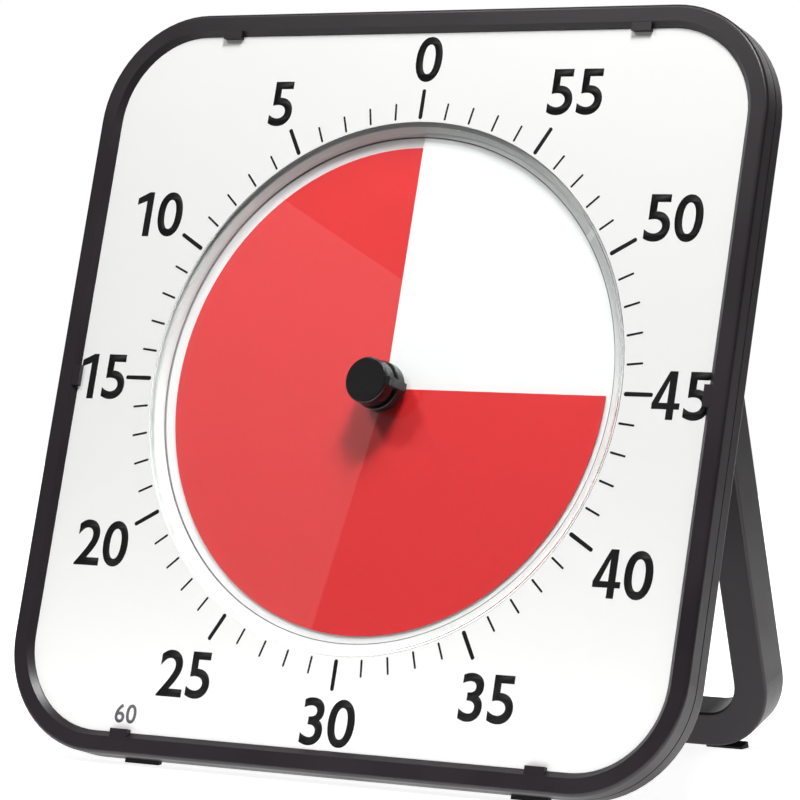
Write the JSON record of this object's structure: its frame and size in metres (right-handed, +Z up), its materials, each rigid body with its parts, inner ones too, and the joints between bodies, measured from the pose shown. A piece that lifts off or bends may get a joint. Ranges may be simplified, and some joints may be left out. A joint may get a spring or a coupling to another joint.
{
  "type": "visual countdown timer",
  "caption": "Sixty-minute visual countdown timer: rounded-square black case, white dial around a dished clear lens, red disappearing disk, centre knob and fold-out rear stand.",
  "frame": {"origin": "on the table under the timer, midway between the case's front edge and the open stand's rear edge", "axes": "+Z up, the dial faces -Y and leans back 16.5 degrees, +X to the right as seen from the front"},
  "size_m": [0.3048, 0.1826, 0.2965],
  "materials": {
    "dial_ink": "screen-printed black",
    "black_case": "fine moulded grain, charcoal black",
    "clear_lens": "clear polystyrene, polished",
    "white_board": "satin white board, printed black",
    "white_sheet": "satin white sheet",
    "red_sheet": "satin red sheet",
    "red_plastic": "moulded red",
    "white_plastic": "moulded white acetal",
    "grey_plastic": "moulded dark grey",
    "black_knob": "smooth black",
    "steel": "plain bright",
    "copper": "enamelled copper wire",
    "board_green": "glass-epoxy board, green solder mask",
    "cell_wrap": "plain dark wrap",
    "rubber": "matt black"
  },
  "bodies": {
    "case": {"front_bezel": "black_case", "rear_case": "black_case", "clear_lens": "clear_lens", "dial_board": "white_board", "white_disk": "white_sheet", "disk_rim": "white_plastic", "idler_arbor": "steel", "rotor_arbor": "steel", "movement_plate": "grey_plastic", "movement_cover": "grey_plastic", "stator": "steel", "coil": "copper", "circuit_board": "board_green", "buzzer": "grey_plastic", "switch_body": "grey_plastic", "battery_tray": "grey_plastic", "battery_cell": "cell_wrap", "positive_contact": "steel", "negative_contact": "steel", "contact_spring": "steel", "case_feet": "rubber", "case_screws": "steel", "movement_screws": "steel", "board_screws": "steel"},
    "spindle": {"knob": "black_knob", "spindle": "steel", "spindle_clip": "steel", "spindle_gear": "white_plastic"},
    "disk": {"red_disk": "red_sheet", "disk_hub": "red_plastic"},
    "idler": {"idler_gear": "white_plastic"},
    "rotor": {"rotor": "white_plastic"},
    "door": {"battery_door": "black_case"},
    "slider": {"alarm_slider": "white_plastic"},
    "stand": {"stand_frame": "black_case", "stand_pins": "steel", "stand_pads": "rubber"}
  },
  "joints": [
    {"name": "knob_turn", "type": "hinge", "parent": "case", "child": "spindle", "pos_m": [0, -0.04607, 0.15005], "axis": [0, -0.9588, 0.284], "range_deg": [-270, 90]},
    {"name": "disk_travel", "type": "slide", "parent": "spindle", "child": "disk", "axis": [0, -0.9588, 0.284], "range_m": [-0.0013, 0.0005]},
    {"name": "idler_spin", "type": "hinge", "parent": "case", "child": "idler", "pos_m": [-0.02012, -0.03073, 0.1455], "axis": [0, -0.9588, 0.284], "range_deg": [-400, 1100]},
    {"name": "rotor_spin", "type": "hinge", "parent": "case", "child": "rotor", "pos_m": [-0.02012, -0.02451, 0.15943], "axis": [0, -0.9588, 0.284], "range_deg": [-4400, 1500]},
    {"name": "stand_fold", "type": "hinge", "parent": "case", "child": "stand", "pos_m": [0, 0.00579, 0.24941], "axis": [1, 0, 0], "range_deg": [-34, 0]},
    {"name": "door_slide", "type": "slide", "parent": "case", "child": "door", "axis": [0, -0.284, -0.9588], "range_m": [0, 0.06]},
    {"name": "alarm_slide", "type": "slide", "parent": "case", "child": "slider", "axis": [1, 0, 0], "range_m": [-0.0024, 0.0024]}
  ],
  "couplings": [
    {"joint": "disk_travel", "follows": "knob_turn", "m_per_rad": 0.00025465},
    {"joint": "idler_spin", "follows": "knob_turn", "ratio": -4},
    {"joint": "rotor_spin", "follows": "knob_turn", "ratio": 16}
  ]
}
